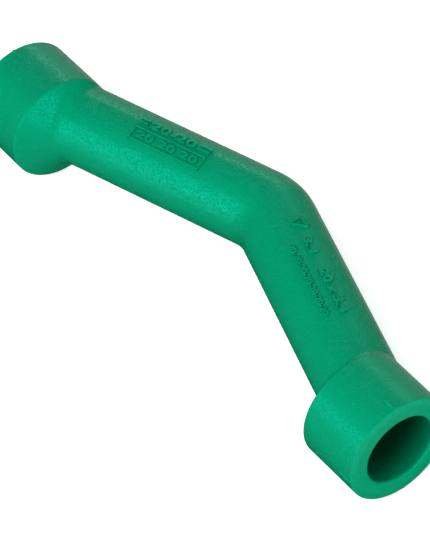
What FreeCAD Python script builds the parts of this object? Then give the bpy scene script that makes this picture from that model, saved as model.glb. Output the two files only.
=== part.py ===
import FreeCAD, Part
import math
import os
import Sketcher
from FreeCAD import Vector

# Pipe crossover fitting for 20 mm socket fusion pipe, moulded in one piece.
# Two sockets share one axis. A hollow bridge rises from one, bends at its crown and falls
# to the other, so that a second pipe can pass through the angle below the crown.
# It is drawn with the sockets along X and the crown towards Y, as one half and its mirror
# image, and then laid down as it rests: on both sockets and the underside of the crown.

dimensions = {
    "run_length": 162.9,        # from mouth to mouth
    "socket_diameter": 30.0,
    "socket_length": 19.0,
    "shoulder_slope": 30.0,     # of the socket's back, in degrees from a square end
    "back_round": 0.6,          # edge between the socket and its back
    "face_diameter": 26.8,      # flat ring round the mouth
    "rim_drop": 0.35,           # fall of the bevelled rim outside that ring
    "rim_round": 0.3,
    "bore_diameter": 19.5,      # takes the end of a 20 mm pipe once both are melted
    "bore_depth": 14.5,
    "lead_in": 0.8,             # rounded edge of the bore
    "arm_diameter": 21.4,
    "arm_slope": 16.86,         # of the bridge's arms from the run, in degrees
    "arm_step": 0.2,            # by which the arm stands proud of the socket on the crown side
    "bend_radius": 11.0,        # of the arm's axis at the crown
    "throat_radius": 20.0,      # of the same bend on its inner side, which is rounded more
    "root_round": 4.0,          # where an arm leaves the back of its socket
    "waterway_diameter": 13.2,
    "mark_count": 4,            # raised alignment marks round each socket
    "mark_length": 4.0,
    "mark_width": 0.7,
    "mark_setback": 0.5,        # from the mouth to the end of each mark
}

doc = FreeCAD.newDocument("pipe_crossover")
sheet = doc.addObject("Spreadsheet::Sheet", "sizes")
for row, (alias, value) in enumerate(dimensions.items(), start=1):
    sheet.set(f"A{row}", alias)
    sheet.set(f"B{row}", str(value))
    sheet.setAlias(f"B{row}", alias)
doc.recompute()

body = doc.addObject("PartDesign::Body", "crossover_body")
body.Label = "crossover_body"

# Lengths that several features share, as formulas of the sheet's sizes.
mouthPlace = "sizes.run_length / 2"
backPlace = f"{mouthPlace} - sizes.socket_length"
socketRadius = "sizes.socket_diameter / 2"
armRadius = "sizes.arm_diameter / 2"
boreRadius = "sizes.bore_diameter / 2"
markRadius = "sizes.mark_width / 2"
slopeAngle = "sizes.arm_slope * 1deg"

# Where an arm's axis meets the run: its crown side comes out just above the socket's back edge.
armReach = (
    f"({backPlace} + ({socketRadius} + sizes.arm_step - {armRadius} / cos({slopeAngle})) / tan({slopeAngle}))"
)
armEnd = f"({mouthPlace} - sizes.bore_depth / 2)"


def originFeature(role):
    """The body's own plane or axis that has this role."""
    return next(item for item in body.Origin.OriginFeatures if item.Role == role)


def newSketch(name, planeRole):
    sketch = body.newObject("Sketcher::SketchObject", name)
    sketch.AttachmentSupport = [(originFeature(planeRole), "")]
    sketch.MapMode = "FlatFace"
    return sketch


def evaluate(expression):
    """What a formula of the sheet's sizes comes to now, to start a sketch near its place."""
    return float(sheet.evalExpression(expression))


def constrain(sketch, expression, *description):
    """A dimension of a sketch, bound to a formula of the sheet's sizes."""
    number = sketch.addConstraint(Sketcher.Constraint(*description, evaluate(expression)))
    sketch.setExpression(f"Constraints[{number}]", expression)


def drawOutline(sketch, corners):
    """A closed outline of straight lines. Each corner is a pair of formulas, and None is on an axis."""
    points = [Vector(*(evaluate(part) if part else 0 for part in corner), 0) for corner in corners]
    for index, point in enumerate(points):
        sketch.addGeometry(Part.LineSegment(point, points[(index + 1) % len(points)]))
    for index, (alongX, alongY) in enumerate(corners):
        sketch.addConstraint(Sketcher.Constraint("Coincident", index, 2, (index + 1) % len(points), 1))
        if alongX:
            constrain(sketch, alongX, "DistanceX", -1, 1, index, 1)
        if alongY:
            constrain(sketch, alongY, "DistanceY", -1, 1, index, 1)
        else:
            sketch.addConstraint(Sketcher.Constraint("PointOnObject", index, 1, -1))
    return points


def roundCorner(sketch, points, index, radius):
    """A tangent arc in place of one corner of an outline."""
    corner = points[index]
    before = (corner + points[index - 1]) / 2
    after = (corner + points[(index + 1) % len(points)]) / 2
    arc = sketch.GeometryCount
    sketch.fillet(index - 1, index, before, after, evaluate(radius), True, True)
    constrain(sketch, radius, "Radius", arc)


def drawCircle(sketch, centre, radius):
    """A circle on the sketch's first axis."""
    ring = Part.Circle(Vector(evaluate(centre), 0, 0), Vector(0, 0, 1), evaluate(radius))
    circle = sketch.addGeometry(ring)
    sketch.addConstraint(Sketcher.Constraint("PointOnObject", circle, 3, -1))
    constrain(sketch, centre, "DistanceX", -1, 1, circle, 3)
    constrain(sketch, radius, "Radius", circle)


def revolve(kind, name, sketch):
    """A feature turned about the sockets' axis."""
    feature = body.newObject(kind, name)
    feature.Profile = sketch
    feature.ReferenceAxis = (originFeature("X_Axis"), [""])
    feature.Angle = 360
    doc.recompute()
    return feature


def crownHeight(bendRadius):
    """How far above the run an arm's axis passes at the crown."""
    return f"({armReach} * tan({slopeAngle}) - {bendRadius} * (1 / cos({slopeAngle}) - 1))"


def drawArmAxis(name, bendRadius):
    """The line an arm follows: an arc from the crown, then straight down into the socket's bore."""
    slope = math.radians(sheet.arm_slope)
    radius = evaluate(bendRadius)
    centre = Vector(0, evaluate(crownHeight(bendRadius)) - radius, 0)
    arc = Part.ArcOfCircle(Part.Circle(centre, Vector(0, 0, 1), radius), math.pi / 2 - slope, math.pi / 2)
    sketch = newSketch(name, "XY_Plane")
    bend = sketch.addGeometry(arc)
    end = Vector(evaluate(armEnd), (evaluate(armReach) - evaluate(armEnd)) * math.tan(slope), 0)
    straight = sketch.addGeometry(Part.LineSegment(arc.StartPoint, end))
    sketch.addConstraint(Sketcher.Constraint("Tangent", bend, 1, straight, 1))
    sketch.addConstraint(Sketcher.Constraint("PointOnObject", bend, 3, -2))
    sketch.addConstraint(Sketcher.Constraint("PointOnObject", bend, 2, -2))
    constrain(sketch, bendRadius, "Radius", bend)
    constrain(sketch, crownHeight(bendRadius), "DistanceY", -1, 1, bend, 2)
    constrain(sketch, armEnd, "DistanceX", -1, 1, straight, 2)
    tilt = sketch.addConstraint(Sketcher.Constraint("Angle", straight, -slope))
    sketch.setExpression(f"Constraints[{tilt}]", f"-{slopeAngle}")
    return sketch


def sweep(kind, name, radius, bendRadius):
    """A round section carried from the crown along an arm's axis."""
    axis = drawArmAxis(f"{name}_axis", bendRadius)
    section = newSketch(f"{name}_section", "YZ_Plane")
    drawCircle(section, crownHeight(bendRadius), radius)
    feature = body.newObject(kind, name)
    feature.Profile = section
    feature.Spine = (axis, ["Edge1", "Edge2"])
    doc.recompute()
    return feature


def roundEdges(name, base, radius, wanted):
    """A fillet on those edges of the last feature that answer to a test."""
    edges = [f"Edge{number}" for number, edge in enumerate(base.Shape.Edges, start=1) if wanted(edge)]
    feature = body.newObject("PartDesign::Fillet", name)
    feature.Base = (base, edges)
    feature.setExpression("Radius", radius)
    doc.recompute()
    return feature


# One socket, still solid: a flat face, a bevelled rim and a back that slopes in to the arm.
socketOutline = newSketch("socket_outline", "XY_Plane")
socketPoints = drawOutline(
    socketOutline,
    [
        (mouthPlace, None),
        (mouthPlace, "sizes.face_diameter / 2"),
        (f"{mouthPlace} - sizes.rim_drop", socketRadius),
        (backPlace, socketRadius),
        (f"{backPlace} - {socketRadius} * tan(sizes.shoulder_slope * 1deg)", None),
    ],
)
roundCorner(socketOutline, socketPoints, 2, "sizes.rim_round")
roundCorner(socketOutline, socketPoints, 3, "sizes.back_round")
revolve("PartDesign::Revolution", "socket", socketOutline)

# The arm, the fuller throat on the inner side of its bend, and the hollow round at its root.
sweep("PartDesign::AdditivePipe", "arm", armRadius, "sizes.bend_radius")
throat = sweep("PartDesign::AdditivePipe", "throat", armRadius, "sizes.throat_radius")
socketBack = evaluate(backPlace)
bendLimit = evaluate("sizes.throat_radius")
roundEdges(
    "root",
    throat,
    "sizes.root_round",
    lambda edge: isinstance(edge.Curve, Part.BSplineCurve) and bendLimit < edge.BoundBox.XMin < socketBack,
)

# Half-round marks along the socket's rim, by which a pipe is turned true before it is fused.
markSection = newSketch("mark_section", "YZ_Plane")
markSection.setExpression(
    "AttachmentOffset.Base.z", f"{mouthPlace} - sizes.mark_setback - sizes.mark_length"
)
drawCircle(markSection, socketRadius, markRadius)
mark = body.newObject("PartDesign::Pad", "mark")
mark.Profile = markSection
mark.setExpression("Length", "sizes.mark_length")
marks = body.newObject("PartDesign::PolarPattern", "marks")
marks.Originals = [mark]
marks.Axis = (originFeature("X_Axis"), [""])
marks.Angle = 360
marks.setExpression("Occurrences", "sizes.mark_count")
body.Tip = marks
doc.recompute()

# The bore that takes the pipe's end, as far as its stop, and the waterway beyond it.
boreOutline = newSketch("bore_outline", "XY_Plane")
stopPlace = f"{mouthPlace} - sizes.bore_depth"
drawOutline(
    boreOutline,
    [(stopPlace, None), (mouthPlace, None), (mouthPlace, boreRadius), (stopPlace, boreRadius)],
)
bore = revolve("PartDesign::Groove", "bore", boreOutline)
waterRadius = "sizes.waterway_diameter / 2"
waterway = sweep("PartDesign::SubtractivePipe", "waterway", waterRadius, "sizes.bend_radius")
leadIn = roundEdges(
    "lead_in",
    waterway,
    "sizes.lead_in",
    lambda edge: isinstance(edge.Curve, Part.Circle)
    and math.isclose(edge.Curve.Radius, evaluate(boreRadius))
    and math.isclose(edge.Curve.Center.x, evaluate(mouthPlace)),
)

# The other half, mirrored across the crown.
whole = body.newObject("PartDesign::Mirrored", "whole")
whole.TransformMode = "Whole shape"
whole.MirrorPlane = (originFeature("YZ_Plane"), [""])
body.Tip = whole

# Laid down as it rests. It turns about the run until the crown's underside is as low as the
# sockets' lowest marks, or as the sockets themselves where those stand out further.
crownAtRest = crownHeight("sizes.bend_radius")
onMarks = (
    f"atan({socketRadius} / {crownAtRest})"
    f" - asin(({armRadius} - {markRadius}) / sqrt({crownAtRest}^2 + ({socketRadius})^2))"
)
onSockets = f"asin(({socketRadius} - {armRadius}) / {crownAtRest})"
restAngle = f"max({onMarks}; {onSockets})"
runHeight = f"({crownAtRest} * sin({restAngle}) + {armRadius})"
crownSide = f"({crownAtRest} * cos({restAngle}) + {armRadius})"
runSide = f"max({socketRadius}; {socketRadius} * cos({restAngle}) + {markRadius})"
body.Placement = FreeCAD.Placement(Vector(0, 0, 0), FreeCAD.Rotation(Vector(1, 0, 0), -1))
body.setExpression("Placement.Rotation.Angle", f"-({restAngle})")
body.setExpression("Placement.Base.y", f"({runSide} - {crownSide}) / 2")
body.setExpression("Placement.Base.z", runHeight)
doc.recompute()

failed = [item.Name for item in doc.Objects if {"Invalid", "Error"} & set(item.State)]
if failed:
    raise RuntimeError("these features failed: " + ", ".join(failed))
if body.Shape.isNull() or not body.Shape.isValid() or len(body.Shape.Solids) != 1:
    raise RuntimeError("the fitting is not one valid solid")
if not whole.Shape.Volume / 2 < waterway.Shape.Volume < bore.Shape.Volume < marks.Shape.Volume:
    raise RuntimeError("a bore, the waterway or a mark has no effect on the fitting")

os.makedirs("parts", exist_ok=True)
for item in doc.findObjects("PartDesign::Body"):
    item.Shape.exportStep(f"parts/{item.Label}.step")
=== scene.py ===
import bmesh
import bpy
import math
from mathutils import Matrix, Vector


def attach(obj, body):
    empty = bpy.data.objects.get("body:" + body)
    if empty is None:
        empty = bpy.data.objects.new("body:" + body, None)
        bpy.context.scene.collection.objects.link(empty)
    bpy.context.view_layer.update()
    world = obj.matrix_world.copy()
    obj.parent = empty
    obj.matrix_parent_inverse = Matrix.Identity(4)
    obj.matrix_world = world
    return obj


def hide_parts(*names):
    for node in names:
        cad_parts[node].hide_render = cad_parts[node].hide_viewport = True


# Pipe crossover fitting in green polypropylene, on a pale table under soft studio light.
# Lengths in the dictionaries are millimetres, and angles are degrees.

mm = 0.001

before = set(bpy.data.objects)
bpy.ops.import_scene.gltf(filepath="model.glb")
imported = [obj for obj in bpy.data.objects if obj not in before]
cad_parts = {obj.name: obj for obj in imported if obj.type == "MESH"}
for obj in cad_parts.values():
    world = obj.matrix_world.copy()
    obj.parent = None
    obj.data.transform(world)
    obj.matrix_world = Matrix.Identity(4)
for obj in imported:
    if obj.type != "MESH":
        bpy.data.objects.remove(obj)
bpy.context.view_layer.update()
print("frame loaded")

# How the fitting lies, as the CAD model has it.
fitting = {
    "restAngle": 11.208,
    "runPlace": (0, -8.8297, 15.0639),
    "mouth": 81.45,
    "stop": 66.95,
    "boreRadius": 9.75,
    "armSlope": 16.86,
    "armReach": 75.713,
    "armRadius": 10.7,
}
asItLies = Matrix.Translation(Vector(fitting["runPlace"]) * mm) @ Matrix.Rotation(
    math.radians(-fitting["restAngle"]), 4, "X"
)


def armPoint(side, along, angle, height):
    # A point by an arm's skin: along it from the crown, round it from its crown side, and above it.
    slope = math.radians(fitting["armSlope"])
    turn = math.radians(angle)
    reach = along * math.cos(slope)
    rise = fitting["armReach"] * math.tan(slope) - along * math.sin(slope)
    out = fitting["armRadius"] + height
    x = reach + out * math.cos(turn) * math.sin(slope)
    y = rise + out * math.cos(turn) * math.cos(slope)
    return asItLies @ (Vector((side * x, y, out * math.sin(turn))) * mm)


def addPiece(name, mesh, material):
    piece = bpy.data.objects.new(name, mesh)
    bpy.context.scene.collection.objects.link(piece)
    mesh.materials.clear()
    mesh.materials.append(material)
    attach(piece, "root")
    return piece


# Materials

plastic = {
    "colour": (0.0, 0.27, 0.126),
    "speckle": 0.1,
    "speckleRange": (0.3, 0.7),
    # Painted shade in the bores: the colour darkens from the mouth inwards.
    "paintedBoreShade": 0.75,
    "paintedBoreShadeAtMouth": 0.25,
    "paintedBoreShadeDepth": 9,
    "boreSpecular": 0.12,
    "boreEdge": (0.5, 0.1),
    "stopMargin": 0.1,
    "roughness": 0.25,
    "roughnessSpread": 0.04,
    "specular": 0.5,
    "glossTint": (0.03, 1.0, 0.85),
    "grain": 0.44,
    "grainRange": (0.5, 0.72),
    "grainHeight": 0.11,
}


def addRange(tree, value, start, end, low=0.0, high=1.0):
    # A value from start to end becomes one from low to high.
    scaled = tree.nodes.new("ShaderNodeMapRange")
    for socket, number in (("From Min", start), ("From Max", end), ("To Min", low), ("To Max", high)):
        scaled.inputs[socket].default_value = number
    tree.links.new(value, scaled.inputs["Value"])
    return scaled.outputs["Result"]


def addMath(tree, operation, first, second=None):
    # The second is another node's value, a number or nothing.
    step = tree.nodes.new("ShaderNodeMath")
    step.operation = operation
    tree.links.new(first, step.inputs[0])
    if isinstance(second, bpy.types.NodeSocket):
        tree.links.new(second, step.inputs[1])
    elif second is not None:
        step.inputs[1].default_value = second
    return step.outputs["Value"]


def addVectorMath(tree, operation, vector, other=(0, 0, 0)):
    step = tree.nodes.new("ShaderNodeVectorMath")
    step.operation = operation
    step.inputs[1].default_value = other
    tree.links.new(vector, step.inputs[0])
    return step.outputs["Value" if operation in ("LENGTH", "DOT_PRODUCT") else "Vector"]


def addSplit(tree, vector):
    split = tree.nodes.new("ShaderNodeSeparateXYZ")
    tree.links.new(vector, split.inputs["Vector"])
    return split.outputs


def addShaderMix(tree, factor, first, second):
    mix = tree.nodes.new("ShaderNodeMixShader")
    for socket, link in ((0, factor), (1, first), (2, second)):
        tree.links.new(link, mix.inputs[socket])
    return mix.outputs["Shader"]


def addBoreMask(tree, place, values):
    # Where a bore's wall is: near the run's line, and before the stop. It also gives a painted shade, which gets
    # darker in from the mouth.
    fromRun = addVectorMath(tree, "SUBTRACT", place, Vector(fitting["runPlace"]) * mm)
    radius = addVectorMath(tree, "LENGTH", addVectorMath(tree, "MULTIPLY", fromRun, (0, 1, 1)))
    outer, inner = ((fitting["boreRadius"] + edge) * mm for edge in values["boreEdge"])
    inside = addRange(tree, radius, outer, inner)
    length = addMath(tree, "ABSOLUTE", addSplit(tree, place)["X"])
    beforeStop = addMath(tree, "GREATER_THAN", length, (fitting["stop"] - values["stopMargin"]) * mm)
    inBore = addMath(tree, "MULTIPLY", inside, beforeStop)
    deepest = (fitting["mouth"] - values["paintedBoreShadeDepth"]) * mm
    depth = addRange(tree, length, fitting["mouth"] * mm, deepest, values["paintedBoreShadeAtMouth"])
    return inBore, addMath(tree, "MULTIPLY", inBore, depth)


def makePlastic(values):
    material = bpy.data.materials.new("green_polypropylene")
    material.use_nodes = True
    tree = material.node_tree
    nodes = tree.nodes
    links = tree.links
    shader = nodes["Principled BSDF"]
    shader.inputs["Specular Tint"].default_value = (*values["glossTint"], 1)
    place = nodes.new("ShaderNodeTexCoord").outputs["Object"]
    inBore, paintedShade = addBoreMask(tree, place, values)
    noise = nodes.new("ShaderNodeTexNoise")
    noise.inputs["Scale"].default_value = 1 / (values["grain"] * mm)
    noise.inputs["Detail"].default_value = 2
    links.new(place, noise.inputs["Vector"])
    grain = noise.outputs["Fac"]

    # The colour is speckled by the grain, and painted darker in the bores as shade.
    tint = nodes.new("ShaderNodeMix")
    tint.data_type = "RGBA"
    red, green, blue = values["colour"]
    for socket, level in (("A", 1 - values["speckle"]), ("B", 1 + values["speckle"])):
        tint.inputs[socket].default_value = (red * level, green * level, blue * level, 1)
    links.new(addRange(tree, grain, *values["speckleRange"]), tint.inputs["Factor"])
    # Painted shade: the bores' colour is darkened by the mask.
    paintedBoreShadeMix = nodes.new("ShaderNodeMix")
    paintedBoreShadeMix.data_type = "RGBA"
    light = 1 - values["paintedBoreShade"]
    paintedBoreShadeMix.inputs["B"].default_value = (red * light, green * light, blue * light, 1)
    links.new(paintedShade, paintedBoreShadeMix.inputs["Factor"])
    links.new(tint.outputs["Result"], paintedBoreShadeMix.inputs["A"])
    links.new(paintedBoreShadeMix.outputs["Result"], shader.inputs["Base Color"])

    # The gloss is duller in the bores, and broken up by the grain, whose bumps are sparse.
    specular = addRange(tree, inBore, 0, 1, values["specular"], values["boreSpecular"])
    links.new(specular, shader.inputs["Specular IOR Level"])
    smooth, rough = (values["roughness"] + turn * values["roughnessSpread"] for turn in (-1, 1))
    links.new(addRange(tree, grain, 0, 1, smooth, rough), shader.inputs["Roughness"])
    bump = nodes.new("ShaderNodeBump")
    bump.inputs["Distance"].default_value = values["grainHeight"] * mm
    links.new(addRange(tree, grain, *values["grainRange"]), bump.inputs["Height"])
    links.new(bump.outputs["Normal"], shader.inputs["Normal"])
    return material


greenPlastic = makePlastic(plastic)

# The moulding itself: the CAD node's own mesh, joined up and shaded smoothly between its real edges.

moulding = {
    "mergeDistance": 0.002,
    "edgeAngle": 24,
    "mouthMargin": 0.01,
    "flatFacing": 0.9999,
}


def makeMoulding(values):
    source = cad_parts["crossover_body"]
    mesh = source.data.copy()
    bm = bmesh.new()
    bm.from_mesh(mesh)
    bmesh.ops.remove_doubles(bm, verts=bm.verts, dist=values["mergeDistance"] * mm)
    limit = math.radians(values["edgeAngle"])
    mouth = (fitting["mouth"] - values["mouthMargin"]) * mm
    for face in bm.faces:
        face.smooth = True
    for edge in bm.edges:
        sides = [(abs(face.normal.x), abs(face.calc_center_median().x)) for face in edge.link_faces]
        flat = [facing > values["flatFacing"] and reach > mouth for facing, reach in sides]
        edge.smooth = edge.calc_face_angle(math.pi) < limit and flat.count(True) != 1
    bm.to_mesh(mesh)
    bm.free()
    piece = addPiece("crossover_moulding", mesh, greenPlastic)
    weighted = piece.modifiers.new("weighted_normals", "WEIGHTED_NORMAL")
    weighted.keep_sharp = True
    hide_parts("crossover_body")
    return piece


makeMoulding(moulding)
print("moulding made")

# Raised marks on the arms. Each is drawn flat at the origin, x to the right and y up, and then bent
# onto an arm, where x runs as the fitting's does and y points to its crown side.

relief = {
    "height": 0.65,
    "sunk": 0.25,
    "round": 0.08,
    "slice": 0.5,
    "fatter": 0.027,
    "capHeight": 0.7,
    "joinDistance": 0.0005,
}


def addBar(bm, start, end, width):
    # A straight raised line from one flat place to another.
    start = Vector((*start, 0))
    end = Vector((*end, 0))
    run = end - start
    deep = relief["height"] + relief["sunk"]
    middle = (start + end) / 2 + Vector((0, 0, relief["height"] - deep / 2))
    bar = bmesh.ops.create_cube(bm, size=1)["verts"]
    bmesh.ops.scale(bm, verts=bar, vec=(run.length + width, width, deep))
    bmesh.ops.rotate(bm, verts=bar, matrix=Matrix.Rotation(math.atan2(run.y, run.x), 3, "Z"))
    bmesh.ops.translate(bm, verts=bar, vec=middle)
    edges = {edge for vert in bar for edge in vert.link_edges}
    top = [edge for edge in edges if all(vert.co.z > 0 for vert in edge.verts)]
    bmesh.ops.bevel(bm, geom=top, offset=relief["round"], segments=1, profile=0.5, affect="EDGES", material=-1)


def addText(bm, text, left, size, width, middle=0):
    # Numerals from a place along x, as tall and as wide as they are told to be.
    curve = bpy.data.curves.new("numerals", "FONT")
    curve.body = text
    curve.size = size / relief["capHeight"]
    curve.offset = relief["fatter"] * size
    curve.extrude = (relief["height"] + relief["sunk"]) / 2 - relief["round"]
    curve.bevel_depth = relief["round"]
    curve.bevel_resolution = 0
    curve.resolution_u = 4
    draft = bpy.data.objects.new("numerals", curve)
    bpy.context.scene.collection.objects.link(draft)
    bpy.context.view_layer.update()
    mesh = bpy.data.meshes.new_from_object(draft.evaluated_get(bpy.context.evaluated_depsgraph_get()))
    bpy.data.objects.remove(draft)
    bpy.data.curves.remove(curve)
    letters = bmesh.new()
    letters.from_mesh(mesh)
    bpy.data.meshes.remove(mesh)
    xs = [vert.co.x for vert in letters.verts]
    ys = [vert.co.y for vert in letters.verts]
    bmesh.ops.translate(letters, verts=letters.verts, vec=(-min(xs), -(min(ys) + max(ys)) / 2, 0))
    bmesh.ops.scale(letters, verts=letters.verts, vec=(width / (max(xs) - min(xs)), size / (max(ys) - min(ys)), 1))
    half = (relief["height"] + relief["sunk"]) / 2
    bmesh.ops.translate(letters, verts=letters.verts, vec=(left, middle, relief["height"] - half))
    joined = bpy.data.meshes.new("joined")
    letters.to_mesh(joined)
    letters.free()
    bm.from_mesh(joined)
    bpy.data.meshes.remove(joined)


def bendOn(name, bm, side, start, angle):
    # Cuts the flat drawing across y, so that it can bend, and lays it on an arm.
    bmesh.ops.remove_doubles(bm, verts=bm.verts, dist=relief["joinDistance"])
    low = min(vert.co.y for vert in bm.verts)
    high = max(vert.co.y for vert in bm.verts)
    for step in range(1, int((high - low) / relief["slice"]) + 1):
        geometry = bm.verts[:] + bm.edges[:] + bm.faces[:]
        place = (0, low + step * relief["slice"], 0)
        bmesh.ops.bisect_plane(bm, geom=geometry, plane_co=place, plane_no=(0, 1, 0), dist=0.0001)
    bmesh.ops.triangulate(bm, faces=bm.faces)
    for vert in bm.verts:
        x, y, height = vert.co
        turned = angle - math.degrees(y / fitting["armRadius"])
        vert.co = armPoint(side, start + side * x, turned, height)
    bmesh.ops.recalc_face_normals(bm, faces=bm.faces)
    mesh = bpy.data.meshes.new(name)
    bm.to_mesh(mesh)
    bm.free()
    return addPiece(name, mesh, greenPlastic)


# Starts are along an arm from the crown, and angles are round it from its crown side.
# A text is followed by where it starts, how tall it is and how wide.
farMarks = {
    "start": 42.4,
    "angle": 80.3,
    "bars": ((0.3, 2.6), (18.9, 22.5)),
    "barHeight": 0.65,
    "barLine": 0.55,
    "text": ("20-20", 3.5, 2.8, 14.6),
    "panelStart": 41.9,
    "panelAngle": 112.5,
    "panelSize": (22.2, 3.6),
    "panelLine": 0.5,
    "panelText": ("20 20 20", 1.3, 2.1, 19.6),
}
nearMarks = {
    "start": 13.2,
    "angle": 76.0,
    "triangle": ((-0.2, 1.1), (1.1, -2.1), (3.4, 1.6)),
    "line": 0.42,
    "texts": (("3.4", 7.0, 2.3, 5.6), ("20 x 3.4", 18.4, 2.5, 15.4)),
    "smallAngle": 99.5,
    "smallText": ("20-20-20-20-20-20-20", 7.8, 1.65, 25.4),
}


def makeFarMarks(values):
    bm = bmesh.new()
    for left, right in values["bars"]:
        for level in (-values["barHeight"], values["barHeight"]):
            addBar(bm, (left, level), (right, level), values["barLine"])
    addText(bm, *values["text"])
    bendOn("size_mark_far", bm, -1, values["start"], values["angle"])

    bm = bmesh.new()
    wide, tall = values["panelSize"]
    corners = ((0, 0), (wide, 0), (wide, tall), (0, tall))
    for index, corner in enumerate(corners):
        addBar(bm, corner, corners[(index + 1) % 4], values["panelLine"])
    addText(bm, *values["panelText"], middle=tall / 2)
    bendOn("framed_mark_far", bm, -1, values["panelStart"], values["panelAngle"])


def makeNearMarks(values):
    bm = bmesh.new()
    corners = values["triangle"]
    for index, corner in enumerate(corners):
        addBar(bm, corner, corners[(index + 1) % 3], values["line"])
    for text in values["texts"]:
        addText(bm, *text)
    bendOn("size_mark_near", bm, 1, values["start"], values["angle"])

    bm = bmesh.new()
    addText(bm, *values["smallText"])
    bendOn("small_mark_near", bm, 1, values["start"], values["smallAngle"])


makeFarMarks(farMarks)
makeNearMarks(nearMarks)
print("marks made")

# Small pips that the mould leaves: by the crown on the far arm, and on the near socket's face.
pips = {
    "crownSize": 0.6,
    "crown": ((1.3, 95.9), (0.5, 97.4)),
    "faceSize": 0.38,
    "face": ((81.0, 2.8, 9.8), (81.05, -12.06, -6.39)),
}


def makePips(values):
    bm = bmesh.new()
    places = [(armPoint(-1, along, angle, 0), values["crownSize"]) for along, angle in values["crown"]]
    places += [(asItLies @ (Vector(place) * mm), values["faceSize"]) for place in values["face"]]
    for place, size in places:
        bmesh.ops.create_icosphere(bm, subdivisions=2, radius=size * mm, matrix=Matrix.Translation(place))
    mesh = bpy.data.meshes.new("mould_pips")
    bm.to_mesh(mesh)
    bm.free()
    addPiece("mould_pips", mesh, greenPlastic)


makePips(pips)
print("pips made")

# The table

floorValues = {
    "size": 3.0,
    "colour": (0.85, 0.85, 0.85),
    "lift": (0.55, 1.0),
    "liftEdge": (250, 900),
    # A painted glow on the table to the right, seen only in the object's gloss.
    "glossOnlyGlowRight": 0.61,
    "rightEdge": (94, 108),
}


def makeTableMaterial(values):
    material = bpy.data.materials.new("pale_table")
    material.use_nodes = True
    tree = material.node_tree
    nodes = tree.nodes
    links = tree.links
    nodes.remove(nodes["Principled BSDF"])
    place = nodes.new("ShaderNodeTexCoord").outputs["Object"]
    rays = nodes.new("ShaderNodeLightPath").outputs

    # The camera sees the table lifted towards white, and all the more far away.
    matte = nodes.new("ShaderNodeBsdfDiffuse")
    matte.inputs["Color"].default_value = (*values["colour"], 1)
    glow = nodes.new("ShaderNodeEmission")
    near, far = (edge * mm for edge in values["liftEdge"])
    away = addVectorMath(tree, "LENGTH", place)
    links.new(addRange(tree, away, near, far, *values["lift"]), glow.inputs["Strength"])
    lifted = nodes.new("ShaderNodeAddShader")
    links.new(matte.outputs["BSDF"], lifted.inputs[0])
    links.new(glow.outputs["Emission"], lifted.inputs[1])
    toCamera = addShaderMix(tree, rays["Is Camera Ray"], matte.outputs["BSDF"], lifted.outputs["Shader"])

    # The object's gloss sees the backdrop through the table, and only to the right a painted glow on the table,
    # which shows in the object as a painted reflection.
    start, end = (edge * mm for edge in values["rightEdge"])
    right = addRange(tree, addSplit(tree, place)["X"], start, end)
    clear = nodes.new("ShaderNodeBsdfTransparent")
    bright = nodes.new("ShaderNodeEmission")
    bright.inputs["Strength"].default_value = values["glossOnlyGlowRight"]
    glowSeenInGloss = addShaderMix(tree, right, clear.outputs["BSDF"], bright.outputs["Emission"])
    toGloss = addShaderMix(tree, rays["Is Glossy Ray"], toCamera, glowSeenInGloss)
    links.new(toGloss, nodes["Material Output"].inputs["Surface"])
    return material


def makeFloor(values):
    bm = bmesh.new()
    bmesh.ops.create_grid(bm, x_segments=1, y_segments=1, size=values["size"])
    mesh = bpy.data.meshes.new("table_top")
    bm.to_mesh(mesh)
    bm.free()
    mesh.materials.append(makeTableMaterial(values))
    floor = bpy.data.objects.new("table_top", mesh)
    bpy.context.scene.collection.objects.link(floor)


makeFloor(floorValues)

# Light

# The lamps light the object without showing in it, and its gloss alone sees the sheens.
lamps = {
    "right": {"azimuth": 0, "elevation": 8, "distance": 0.6, "size": 0.3, "power": 1.70},
    "high": {"azimuth": 300, "elevation": 58, "distance": 0.8, "size": 0.4, "power": 3.76},
    "top": {"azimuth": 0, "elevation": 90, "distance": 0.6, "size": 0.3, "power": 0.65},
    "low": {"azimuth": 262, "elevation": 22, "distance": 0.8, "size": 0.4, "power": 0.92},
}

sheenColour = (0.2, 1.0, 0.95)

sheens = {
    "front": {"azimuth": 253, "elevation": 35, "distance": 1.1, "size": 0.8, "power": 6.74},
    "mid": {"azimuth": 222, "elevation": 48, "distance": 1.1, "size": 0.8, "power": 1.10},
    "low": {"azimuth": 270, "elevation": 9, "distance": 1.1, "size": 0.8, "power": 4.34},
    "side": {"azimuth": 0, "elevation": 5, "distance": 1.1, "size": 1.0, "power": 9.82},
}


def addLamp(name, values, sheen):
    data = bpy.data.lights.new(name, "AREA")
    data.shape = "DISK"
    data.size = values["size"]
    data.energy = values["power"]
    lamp = bpy.data.objects.new(name, data)
    bpy.context.scene.collection.objects.link(lamp)
    lamp.visible_glossy = sheen
    lamp.visible_diffuse = not sheen
    data.color = sheenColour if sheen else (1, 1, 1)
    turn = math.radians(values["azimuth"])
    lift = math.radians(values["elevation"])
    towards = Vector((math.cos(turn) * math.cos(lift), math.sin(turn) * math.cos(lift), math.sin(lift)))
    lamp.location = towards * values["distance"]
    lamp.rotation_euler = towards.to_track_quat("Z", "Y").to_euler()


for name, values in lamps.items():
    addLamp(f"{name}_lamp", values, False)
for name, values in sheens.items():
    addLamp(f"{name}_sheen", values, True)

surroundings = {
    "fill": 0.42,
    "backdropSides": (119, 154),
    "sideSoftness": 0.06,
    "backdropHeights": ((-0.1, 0.15), (0.05, 0.33), (0.15, 0.4), (0.27, 1.0), (0.33, 1.0), (0.37, 0.0)),
    "backdropLevel": 2.87,
}


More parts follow.
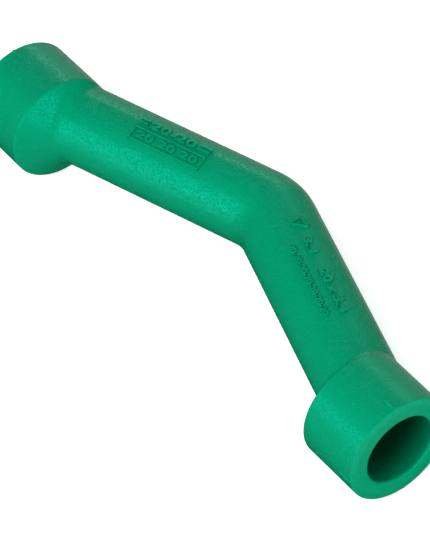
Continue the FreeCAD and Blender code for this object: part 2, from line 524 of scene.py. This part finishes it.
def makeWorld(values):
    world = bpy.data.worlds.new("studio")
    bpy.context.scene.world = world
    world.use_nodes = True
    tree = world.node_tree
    nodes = tree.nodes
    links = tree.links
    place = nodes.new("ShaderNodeTexCoord").outputs["Generated"]
    rays = nodes.new("ShaderNodeLightPath").outputs

    # The backdrop stands between two azimuths, and is brightest below its top.
    sides = []
    for azimuth, turn in zip(values["backdropSides"], (90, -90)):
        edge = math.radians(azimuth + turn)
        towards = addVectorMath(tree, "DOT_PRODUCT", place, (math.cos(edge), math.sin(edge), 0))
        sides.append(addRange(tree, towards, 0, values["sideSoftness"]))
    profile = nodes.new("ShaderNodeValToRGB")
    points = profile.color_ramp.elements
    (lowest, dim), *middle, (highest, dark) = values["backdropHeights"]
    for index, z, level in ((0, lowest, dim), (1, highest, dark)):
        points[index].position = (z + 1) / 2
        points[index].color = (level, level, level, 1)
    for z, level in middle:
        points.new((z + 1) / 2).color = (level, level, level, 1)
    links.new(addRange(tree, addSplit(tree, place)["Z"], -1, 1), profile.inputs["Fac"])
    backdrop = addMath(tree, "MULTIPLY", sides[0], values["backdropLevel"])
    for mask in (sides[1], profile.outputs["Color"]):
        backdrop = addMath(tree, "MULTIPLY", backdrop, mask)

    # Gloss sees the backdrop, the camera a white one, and all else is lit by the fill.
    soft = nodes.new("ShaderNodeMix")
    soft.inputs["A"].default_value = values["fill"]
    links.new(rays["Is Glossy Ray"], soft.inputs["Factor"])
    links.new(backdrop, soft.inputs["B"])
    seen = nodes.new("ShaderNodeMix")
    seen.inputs["B"].default_value = 1
    links.new(addMath(tree, "MAXIMUM", rays["Is Camera Ray"], rays["Is Transmission Ray"]), seen.inputs["Factor"])
    links.new(soft.outputs["Result"], seen.inputs["A"])
    background = nodes["Background"]
    background.inputs["Color"].default_value = (1, 1, 1, 1)
    links.new(seen.outputs["Result"], background.inputs["Strength"])


makeWorld(surroundings)
print("stage made")

# Camera, at the photograph's angle

cameraValues = {
    "aim": (2.3241, -7.0723, 11.6738),
    "distance": 907.61,
    "azimuth": 72.9896,
    "elevation": 52.5704,
    "roll": 25.4458,
    "lens": 240.206,
}


def addCamera(values):
    data = bpy.data.cameras.new("photo_camera")
    data.lens = values["lens"]
    data.sensor_width = 36
    camera = bpy.data.objects.new("photo_camera", data)
    bpy.context.scene.collection.objects.link(camera)
    turn = math.radians(values["azimuth"])
    lift = math.radians(values["elevation"])
    back = Vector((math.sin(turn) * math.cos(lift), -math.cos(turn) * math.cos(lift), math.sin(lift)))
    camera.location = (Vector(values["aim"]) + back * values["distance"]) * mm
    upright = back.to_track_quat("Z", "Y").to_matrix().to_4x4()
    rolled = upright @ Matrix.Rotation(math.radians(-values["roll"]), 4, "Z")
    camera.rotation_euler = rolled.to_euler()
    bpy.context.scene.camera = camera
    print("camera placed")


addCamera(cameraValues)
bpy.context.scene.view_settings.view_transform = "Standard"
